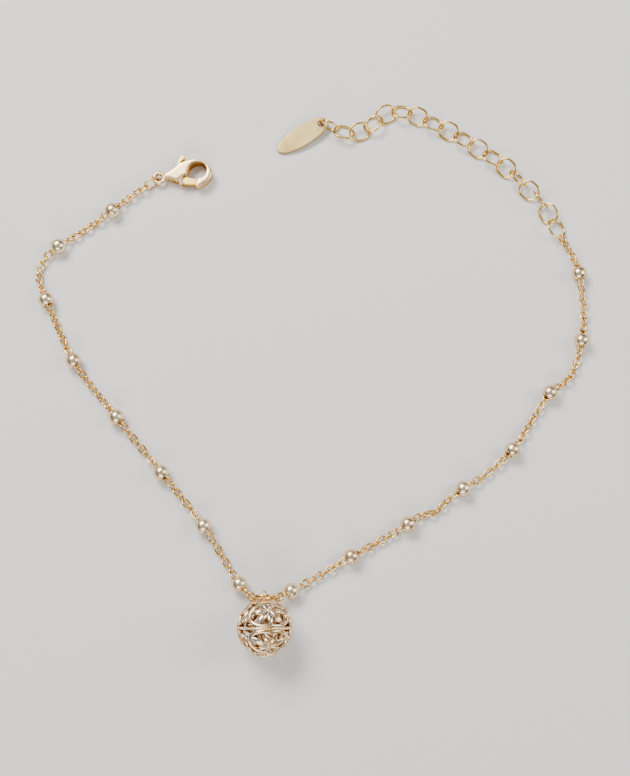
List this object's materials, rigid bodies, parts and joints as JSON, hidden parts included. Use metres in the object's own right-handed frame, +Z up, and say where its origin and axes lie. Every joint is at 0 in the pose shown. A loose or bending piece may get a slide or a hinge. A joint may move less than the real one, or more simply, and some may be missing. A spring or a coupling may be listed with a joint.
{
  "type": "anklet",
  "caption": "Fine cable-chain anklet with round beads in regular steps, an openwork ball pendant, a lobster clasp and an extender chain with a blank leaf-shaped tag, lying open.",
  "frame": {"origin": "middle of the anklet's plan box, on the surface that it lies on", "axes": "+Z up from that surface; -Y towards the ball pendant; +X towards the extender's side, with the clasp on the -X side"},
  "size_m": [0.1086, 0.1105, 0.0102],
  "materials": {
    "polished_gold": "pale gold plating, polished",
    "ball_gold": "gold plating, satin with burnished edges",
    "satin_gold": "pale rose gold plating, satin",
    "extender_gold": "yellow gold plating, polished",
    "matte_gold": "champagne gold plating, matte"
  },
  "bodies": {
    "anklet": {"strand_left": "polished_gold", "strand_right": "polished_gold", "bead_left_1": "polished_gold", "bead_left_2": "polished_gold", "bead_left_3": "polished_gold", "bead_left_4": "polished_gold", "bead_left_5": "polished_gold", "bead_left_6": "polished_gold", "bead_left_7": "polished_gold", "bead_left_8": "polished_gold", "bead_right_1": "polished_gold", "bead_right_2": "polished_gold", "bead_right_3": "polished_gold", "bead_right_4": "polished_gold", "bead_right_5": "polished_gold", "bead_right_6": "polished_gold", "bead_right_7": "polished_gold", "bead_right_8": "polished_gold", "pendant_ball": "ball_gold", "pendant_ring": "polished_gold", "clasp_end_link": "polished_gold", "clasp_body": "satin_gold", "extender_link_01": "extender_gold", "extender_link_02": "extender_gold", "extender_link_03": "extender_gold", "extender_link_04": "extender_gold", "extender_link_05": "extender_gold", "extender_link_06": "extender_gold", "extender_link_07": "extender_gold", "extender_link_08": "extender_gold", "extender_link_09": "extender_gold", "extender_link_10": "extender_gold", "extender_link_11": "extender_gold", "extender_link_12": "extender_gold", "extender_link_13": "extender_gold", "extender_link_14": "extender_gold", "extender_link_15": "extender_gold", "extender_link_16": "extender_gold", "extender_link_17": "extender_gold", "tag_ring": "extender_gold", "tag": "matte_gold"},
    "lever": {"clasp_lever": "satin_gold"}
  },
  "joints": [
    {"name": "clasp_lever", "type": "hinge", "parent": "anklet", "child": "lever", "pos_m": [-0.02685, 0.0392, 0.0012], "axis": [0, 0, 1], "range_deg": [0, 30], "stiffness_Nm_per_rad": 0.002, "springref_deg": -20.05}
  ]
}
